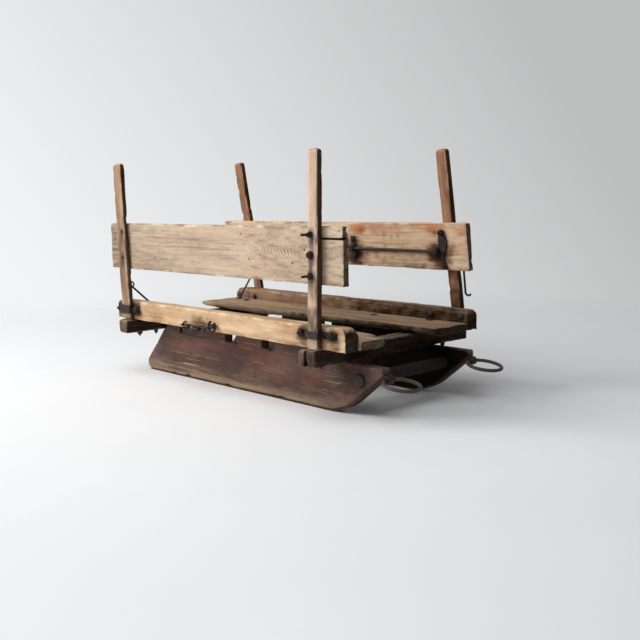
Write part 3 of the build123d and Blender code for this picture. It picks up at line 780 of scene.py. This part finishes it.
def board_pieces():
    """The side boards. The right one has a split front end and a patch of herringbone grain."""
    split_from_end, split_low, split_wide, loss = 95 * MM, 109 * MM, 3.2 * MM, 2.5 * MM
    split_rise, split_fade, split_lift = 6 * MM, 14 * MM, 1 * MM
    figure_start, figure_height, figure_tilt = 0.14, 0.021, 0.22
    _, size = piece_frame("side_board_right", AXIS_X, AXIS_Z)
    low = split_low - size[1] / 2
    slit = (size[0] / 2 - split_from_end, low, low + split_wide)

    def split_end(points, size):
        gap = size[0] / 2 - points[:, 0]
        opening = 1 - smooth(gap, 0, split_from_end)
        upper = smooth(points[:, 1], low + 0.6 * split_wide, low + split_wide)
        points[:, 0] -= upper * loss * opening
        points[:, 1] += upper * split_lift * opening
        inward = 0.5 - points[:, 2] / size[2]
        beside = np.exp(-np.abs(points[:, 1] - low) / split_fade) * (gap < split_from_end + 2 * MM)
        points[:, 1] += split_rise * inward * beside
        return points

    def chevrons(points):
        near_front = smooth(points[:, 0], 0.15, 0.26) * (1 - smooth(points[:, 0], 0.35, 0.39))
        mid_height = smooth(points[:, 1], -0.022, 0.0) * (1 - smooth(points[:, 1], 0.034, 0.052))
        return 0.2 + 0.8 * near_front * mid_height

    # Where the split is; its walls get painted shade
    def in_split(points):
        beside = np.abs(points[:, 1] - low - split_wide / 2) < 0.6 * split_wide
        return beside * (points[:, 0] > size[0] / 2 - split_from_end - 1 * MM)

    def turned_grain(points):
        ahead = np.clip(points[:, 0] - figure_start, 0, None)
        beside = np.abs(points[:, 1] - figure_height) * smooth(points[:, 0], 0.10, 0.18)
        return figure_tilt * (0.9 * beside - ahead)

    timber("worn_board_right", "side_board_right", "board_right", (AXIS_X, AXIS_Z),
           PLANK_STEPS, 2, 4.0, shape=split_end, slit=slit, end_darkening=0.72,
           front_shade_and_dirt=0.76, grain_plain=chevrons, warp=turned_grain, shaded_crack=in_split)
    timber("worn_board_left", "side_board_left", "board_left", (AXIS_X, AXIS_Z),
           PLANK_STEPS, 2, 5.0, end_darkening=0.78, front_shade_and_dirt=0.82)


def stake_pieces():
    """Four stakes with rounded tops and feet cut level. The rear left one has a notch."""
    # End, side, finish, chip size, painted shade and dirt on the front side, seed
    rows = [
        ("front", "right", "stake_right", 3, 0.9, 6.0),
        ("rear", "right", "stake_rear", 3, 0.85, 7.0),
        ("front", "left", "stake_left", 4, 0.85, 8.0),
        ("rear", "left", "stake_left", 6, 0.85, 9.0),
    ]
    notch_height, notch_half, notch_deep = 0.487, 18 * MM, 7 * MM
    crown = 11 * MM
    for end, side, finish, chips, front_shade_and_dirt, seed in rows:
        node = f"stake_{end}_{side}"
        place, size = piece_frame(node, AXIS_Z, AXIS_X)
        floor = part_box(node)[0].z
        notched = (end, side) == ("rear", "left")

        def trim_stake(points, size, place=place, floor=floor, notched=notched):
            above = np.clip(1 - (size[0] / 2 - points[:, 0]) / crown, 0, 1)
            points[:, 1:] *= 1 - 0.4 * (1 - np.sqrt(1 - above[:, None] ** 2))
            for point in points:
                height = (place @ Vector(point)).z
                if height < floor:
                    point[0] += (floor - height) / place.col[0].z
                away = abs(height - notch_height) / notch_half
                if notched and away < 1 and point[1] < 0:
                    point[1] += notch_deep * (1 - away) * 2 * abs(point[1]) / size[1]
            return points

        timber(f"worn_stake_{end}_{side}", node, finish, (AXIS_Z, AXIS_X),
               (7, 4.5, 4.5), 4, seed, shape=trim_stake, wander=1.5, chips=chips,
               extra_along=[size[0] / 2 - share * crown for share in (0.2, 0.55, 0.75, 1.0)],
               end_darkening=0.35, front_shade_and_dirt=front_shade_and_dirt)


def bolster_pieces():
    """The three bolster beams across the runners."""
    # Node, edge round, darkening of the ends, seed
    rows = [
        ("front_bolster_fore", 3.5, 0.6, 10.0),
        ("front_bolster_aft", 3.5, 0.1, 11.0),
        ("rear_bolster", 8.0, 0.2, 12.0),
    ]
    for node, edge_round, end_darkening, seed in rows:
        timber(f"worn_{node}", node, "bolster", (AXIS_Y, AXIS_Z), (8, 5, 5),
               edge_round, seed, chips=5, end_darkening=end_darkening, front_shade_and_dirt=0.85)


runner_piece("right", 1.0)
runner_piece("left", 2.0)
rail_piece("right", 3.0)
rail_piece("left", 3.5)
plank_pieces()
board_pieces()
stake_pieces()
bolster_pieces()


# Small ironwork: bolts, nuts, washers, brackets

def turned(bm, place, profile, sides, turn=0.0, closed=False):
    """Turns (radius, height) pairs in mm round the place's z axis, with flat ends unless it is closed."""
    rings = []
    for radius, height in profile:
        ring = []
        for k in range(sides):
            angle = turn + 2 * pi * k / sides
            spot = Vector((radius * cos(angle), radius * sin(angle), height)) * MM
            ring.append(bm.verts.new(place @ spot))
        rings.append(ring)
    following = rings[1:] + rings[:1] if closed else rings[1:]
    for lower, upper in zip(rings, following):
        for k in range(sides):
            bm.faces.new((lower[k], lower[(k + 1) % sides], upper[(k + 1) % sides], upper[k]))
    if not closed:
        bm.faces.new(rings[-1])
        bm.faces.new(rings[0][::-1])


def pointing(place, direction, spin=0.0):
    """Matrix at a place whose z axis points in a direction."""
    turn = direction.to_track_quat("Z", "Y").to_matrix().to_4x4()
    return Matrix.Translation(place) @ turn @ Matrix.Rotation(spin, 4, "Z")


def washer(bm, place, radius, thick):
    turned(bm, place, [(radius, 0), (radius, 0.7 * thick), (0.93 * radius, thick)], 24)


def nut(bm, place, across, thick, sides):
    corner = across / 2 / cos(pi / sides)
    profile = [(corner, 0), (corner, 0.8 * thick), (0.84 * corner, thick)]
    turned(bm, place, profile, sides, pi / sides)


def thread(bm, place, length):
    """A bolt's threaded end with its chamfered tip."""
    radius, pitch = 3.2, 1.5
    turns = max(2, int(length / pitch))
    profile = [(radius, 0)]
    for k in range(turns):
        profile += [(radius * 0.86, (k + 0.5) * length / turns), (radius, (k + 1) * length / turns)]
    profile.append((radius * 0.6, length + 0.8))
    turned(bm, place, profile, 16)


def dome(bm, place, radius, height):
    """A round bolt or nail head."""
    steps = 5
    angles = [k * pi / 2 / steps for k in range(steps)]
    profile = [(radius, 0)] + [(radius * cos(a), height * (0.15 + 0.85 * sin(a))) for a in angles]
    profile.append((0.05 * radius, height))
    turned(bm, place, profile, 24)


# Bolt kinds: width across the nut, its sides, length of the end beyond it and washer radius, in mm
ROUND_STRAP_BOLT = (19, 12, 4, 14)
STRAP_BOLT = (14, 4, 5, 9.5)
ROUND_STAKE_BOLT = (15, 8, 2, 10)
LONG_STAKE_BOLT = (11, 4, 20, 8)
BRACKET_TOP_BOLT = (13, 6, 4, 8.5)
BRACKET_FOOT_BOLT = (11, 6, 2, 7)
BOLSTER_BOLT = (12, 4, 5, 9)


def bolted(bm, place, direction, spin, kind):
    """A washer, a nut and the bolt's threaded end standing out of it."""
    across, sides, stub, washer_radius = kind
    nut_thick, washer_thick = 8, 1.8
    on_washer = place + direction * washer_thick * MM
    on_nut = on_washer + direction * nut_thick * MM
    washer(bm, pointing(place, direction), washer_radius, washer_thick)
    nut(bm, pointing(on_washer, direction, spin), across, nut_thick, sides)
    thread(bm, pointing(on_nut, direction), stub)


def iron_piece(name, build, bevel=0.0, stands_for=None, finish="black_iron"):
    """One mesh of small pieces that rides on the sled."""
    bm = bmesh.new()
    build(bm)
    bm.normal_update()
    mesh = bpy.data.meshes.new(name)
    bm.to_mesh(mesh)
    bm.free()
    mesh.materials.append(MATERIALS[finish])
    piece = placed(name, mesh)
    if bevel:
        softened = piece.modifiers.new("softened", "BEVEL")
        softened.width = bevel
        softened.segments = 2
    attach(piece, "sled")
    if stands_for:
        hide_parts(stands_for)


def strap_bolts(bm):
    for count, strap_name in enumerate(STRAPS):
        ears, outward = strap_ears(strap_name)
        rail_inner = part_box("rail_right")[1].y if outward.y < 0 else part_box("rail_left")[0].y
        for k, ear in enumerate(ears):
            spin = 0.5 + 0.9 * count + 0.4 * k
            big_round = strap_name == "stake_strap_rear_right" and k == 1
            bolted(bm, ear, outward, spin, ROUND_STRAP_BOLT if big_round else STRAP_BOLT)
            inside = Vector((ear.x, rail_inner, ear.z))
            dome(bm, pointing(inside - outward * 0.5 * MM, -outward), 9, 5.5)


def stake_bolts(bm):
    for k, place in enumerate(STAKE_BOLTS):
        if k == 1:
            bolted(bm, place, -AXIS_Y, 0.4, ROUND_STAKE_BOLT)
        else:
            bolted(bm, place, -AXIS_Y, 0.3 + k, LONG_STAKE_BOLT)
    for place in REAR_STAKE_BOLTS:
        dome(bm, pointing(place + AXIS_Y * 0.5 * MM, -AXIS_Y), 5.5, 4)


# Outline of a forged bracket, up one side and down the other, in mm from its foot
BRACKET = [
    (14, 0), (16, 8), (13, 16), (7, 24), (6, 34), (12, 52), (19, 66), (21, 80), (17, 92), (13, 98),
    (13, 106), (8, 111), (-1, 111), (-6, 106), (-6, 97), (-8, 88), (-9, 74), (-12, 63), (-20, 61),
    (-26, 54), (-26, 46), (-20, 40), (-11, 40), (-4, 34), (-2, 22), (1, 12), (2, 4), (5, 0),
]


def board_face(side, node):
    """A board's frame, half thickness, inner sign and direction, and a node's corners in its frame."""
    place, size = piece_frame(f"side_board_{side}", AXIS_X, AXIS_Z)
    inner = 1 if side == "left" else -1
    out = (place.to_3x3() @ Vector((0, 0, inner))).normalized()
    corners = np.array([place.inverted() @ v.co for v in nodes[node].data.vertices])
    return place, size[2] / 2, inner, out, corners


def bracket_piece(side):
    """A lobed forged plate on the board's inner face, with its pin head and two bolts."""
    node = f"pivot_plate_{side}"
    place, half_thick, inner, out, corners = board_face(side, node)
    strap_half, thick = 8.5 * MM, 4 * MM
    foot = Vector((corners[:, 0].max() - strap_half, corners[:, 1].min(), inner * half_thick))

    def spot(right, up, off):
        return place @ (foot + Vector((right * MM, up * MM, inner * off)))

    def build(bm):
        rim = [bm.verts.new(spot(right, up, 0)) for right, up in BRACKET]
        top = [bm.verts.new(spot(right, up, thick)) for right, up in BRACKET]
        bm.faces.new(top[::inner])
        bm.faces.new(rim[::-inner])
        for k in range(len(BRACKET)):
            following = (k + 1) % len(BRACKET)
            bm.faces.new((rim[k], rim[following], top[following], top[k])[::inner])
        pin = [(6, 0), (6, 15), (11, 15), (11, 18), (9, 19.5), (5, 20)]
        turned(bm, pointing(spot(-15, 51, 0), out), pin, 24)
        bolted(bm, spot(4, 104, thick), out, 0.4, BRACKET_TOP_BOLT)
        bolted(bm, spot(9, 8, thick), out, 0.9, BRACKET_FOOT_BOLT)

    iron_piece(f"forged_bracket_{side}", build, 0.8 * MM, node)


def keeper_bolts(bm):
    inset, keeper_thick = 9 * MM, 3 * MM
    for side in ("left", "right"):
        place, half_thick, inner, out, corners = board_face(side, f"rod_keeper_{side}")
        middle = (corners[:, 0].min() + corners[:, 0].max()) / 2
        for height in (corners[:, 1].min() + inset, corners[:, 1].max() - inset):
            spot = place @ Vector((middle, height, inner * (half_thick + keeper_thick)))
            dome(bm, pointing(spot, out), 6.5, 4)


def deck_bolts(bm):
    """Round heads on the deck planks, and nuts under the bolsters."""
    heads = [(-0.444, 0.164), (0.155, 0.158), (0.34, 0.185), (-0.474, -0.185), (0.345, -0.16)]
    nuts = [(-0.474, -0.247), (-0.474, -0.187), (-0.474, 0.187), (0.365, 0.213), (0.338, -0.24)]
    deck_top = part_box("deck_plank_left")[1].z
    for x, y in heads:
        dome(bm, pointing(Vector((x, y, deck_top - 1 * MM)), AXIS_Z), 11, 5)
    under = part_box("rear_bolster")[0].z
    for x, y in nuts:
        bolted(bm, Vector((x, y, under + 0.5 * MM)), -AXIS_Z, 0.6 + 9 * y, BOLSTER_BOLT)


def board_nails(bm):
    """Nail heads on the right board's outer face, by x and z."""
    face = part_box("side_board_right")[0].y
    places = [(0.078, 0.449), (0.2765, 0.38), (0.1086, 0.3836)]
    places += [(0.3197, 0.4152), (-0.19, 0.42), (-0.33, 0.37)]
    for x, z in places:
        dome(bm, pointing(Vector((x, face + 0.6 * MM, z)), -AXIS_Y), 2.6, 1.4)


def brace_eyes(bm):
    """Screw eyes that hold the brace rods' upper ends to the stakes."""
    ring, wire, around, section = 8, 2.4, 20, 8
    angles = [2 * pi * k / section for k in range(section)]
    profile = [(ring + wire * cos(angle), wire * sin(angle)) for angle in angles]
    for side in ("right", "left"):
        low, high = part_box(f"rear_brace_{side}")
        inward = 1 if side == "right" else -1
        centre = Vector((high.x + 2 * MM, low.y if inward > 0 else high.y, high.z - 9 * MM))
        centre.y += inward * 4 * MM
        turn = Matrix.Translation(centre) @ Matrix.Rotation(pi / 2, 4, "Y")
        turned(bm, turn, profile, around, closed=True)


def on_rung_end(bm, profile, ahead=0.0, sunk=0.0):
    """A turned form on the rung's end at the right runner's outer face."""
    low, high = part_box("front_rung")
    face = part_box("runner_right")[0].y
    centre = Vector(((low.x + high.x) / 2 + ahead, face + sunk, (low.z + high.z) / 2))
    turned(bm, pointing(centre, -AXIS_Y), profile, 32)


def rung_shadow_rim(bm):
    """Painted shadow round the rung's right end: a dark rim, wider towards the front."""
    on_rung_end(bm, [(18.5, 0), (18, 0.9), (16, 1.0)], ahead=3.5 * MM, sunk=0.6 * MM)


def rung_cap(bm):
    """Rubbed end of the rung where it stands out of the right runner."""
    on_rung_end(bm, [(16.3, 0), (16.3, 2.2), (15.2, 3.9), (12.5, 4.9), (6.0, 5.3), (0.8, 5.4)])


for build in (strap_bolts, stake_bolts, keeper_bolts, deck_bolts, board_nails, brace_eyes):
    iron_piece(build.__name__, build)
iron_piece("rung_shadow_rim", rung_shadow_rim, finish="rung")
iron_piece("rung_cap", rung_cap, finish="rung_end")
for side in ("right", "left"):
    bracket_piece(side)


# Pieces that keep their CAD form
cad_finishes = {"shoe": "shoe_iron", "tow_ring": "ring_iron", "front_rung": "rung"}
for node_name, cad_object in nodes.items():
    kind = node_name.removesuffix("_right").removesuffix("_left")
    cad_object.data.materials.clear()
    cad_object.data.materials.append(MATERIALS[cad_finishes.get(kind, "black_iron")])


# Stage, light and camera

def stage_floor():
    """A wide pale floor that fades into the background before its edge."""
    reach, near, far = 9.0, 0.8, 2.8
    mesh = bpy.data.meshes.new("floor")
    corners = [(-reach, -reach, 0), (reach, -reach, 0), (reach, reach, 0), (-reach, reach, 0)]
    mesh.from_pydata(corners, [], [(0, 1, 2, 3)])
    g = Finish("pale_floor")
    place = g.add("ShaderNodeTexCoord").outputs["Object"]
    distance = g.add("ShaderNodeVectorMath", {0: place}, operation="LENGTH").outputs["Value"]
    speckle = g.noise(place, FLOOR_CLOUD)
    g.feed(g.shader.inputs["Base Color"], g.shade(tone(240, 241, 242), speckle, 0.97, 1.03))
    g.shader.inputs["Roughness"].default_value = 0.85
    clear = g.add("ShaderNodeBsdfTransparent").outputs[0]
    inputs = {0: g.window(distance, near, far), 1: g.shader.outputs[0], 2: clear}
    blend = g.add("ShaderNodeMixShader", inputs)
    g.feed(g.tree.nodes["Material Output"].inputs[0], blend.outputs[0])
    mesh.materials.append(g.material)
    floor = placed("floor", mesh)
    floor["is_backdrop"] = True


def stage_world():
    """Soft light, brighter from one side, and the pale backdrop that camera and gloss see."""
    world = bpy.data.worlds.new("studio")
    bpy.context.scene.world = world
    world.use_nodes = True
    world.node_tree.nodes.clear()
    g = Graph(world.node_tree)
    path = g.add("ShaderNodeLightPath").outputs
    seen = g.math("MAXIMUM", path["Is Glossy Ray"], path["Is Transmission Ray"])
    seen = g.math("MAXIMUM", path["Is Camera Ray"], seen)
    direction = g.add("ShaderNodeTexCoord").outputs["Generated"]
    bright_side, picture_right = (-0.75, -0.45, 0.48), (0.696, 0.718, 0.0)
    light_middle, light_rise = 0.215, 0.185
    backdrop_middle, fall_right, fall_up = 0.71, -0.55, -0.35
    backdrop_dimmest, backdrop_brightest = 0.52, 0.92
    light_colour, backdrop_colour = (0.97, 0.98, 1.0, 1.0), (0.985, 0.99, 1.0, 1.0)
    towards = g.add("ShaderNodeVectorMath", {0: direction, 1: bright_side}, operation="DOT_PRODUCT")
    strength = g.linear(towards.outputs["Value"], light_rise, light_middle)
    light = g.add("ShaderNodeBackground", {"Color": light_colour, "Strength": strength})
    sideways = g.add("ShaderNodeVectorMath", {0: direction, 1: picture_right}, operation="DOT_PRODUCT")
    fall = g.linear(sideways.outputs["Value"], fall_right, backdrop_middle)
    glow = g.linear(g.split(direction)[2], fall_up, fall)
    glow = g.math("MINIMUM", g.math("MAXIMUM", glow, backdrop_dimmest), backdrop_brightest)
    backdrop = g.add("ShaderNodeBackground", {"Color": backdrop_colour, "Strength": glow})
    mixed = g.add("ShaderNodeMixShader", {0: seen, 1: light.outputs[0], 2: backdrop.outputs[0]})
    g.add("ShaderNodeOutputWorld", {0: mixed.outputs[0]})


def stage_lamp(name, place, target, size, watts):
    """A round area lamp that faces its target."""
    lamp = bpy.data.lights.new(name, "AREA")
    lamp.shape = "DISK"
    lamp.size = size
    lamp.energy = watts
    holder = placed(name, lamp)
    holder.location = place
    holder.rotation_mode = "QUATERNION"
    holder.rotation_quaternion = (target - place).to_track_quat("-Z", "Y")


def stage_camera():
    """The place and lens from which the photograph was taken."""
    level = Vector((cos(CAMERA_YAW), sin(CAMERA_YAW), 0))
    ahead = Vector((-sin(CAMERA_YAW), cos(CAMERA_YAW), 0))
    forward = ahead * cos(CAMERA_PITCH) - AXIS_Z * sin(CAMERA_PITCH)
    upright = level.cross(forward)
    right = cos(CAMERA_ROLL) * level + sin(CAMERA_ROLL) * upright
    up = -sin(CAMERA_ROLL) * level + cos(CAMERA_ROLL) * upright
    camera = bpy.data.cameras.new("camera")
    camera.sensor_width = SENSOR_MM
    camera.lens = FOCAL_PIXELS / PHOTO_WIDTH * SENSOR_MM
    holder = placed("camera", camera)
    turn = Matrix((right, up, -forward)).transposed().to_4x4()
    holder.matrix_world = Matrix.Translation(CAMERA_PLACE) @ turn
    bpy.context.scene.camera = holder


stage_floor()
stage_world()
sled_middle = Vector((0.0, 0.0, 0.25))
stage_lamp("window_light", Vector((-2.8, -3.5, 2.7)), sled_middle, size=3.0, watts=222)
stage_lamp("top_light", Vector((0.1, -1.1, 3.2)), sled_middle, size=2.5, watts=36)
stage_camera()
bpy.context.scene.view_settings.view_transform = "Standard"

low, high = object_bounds()
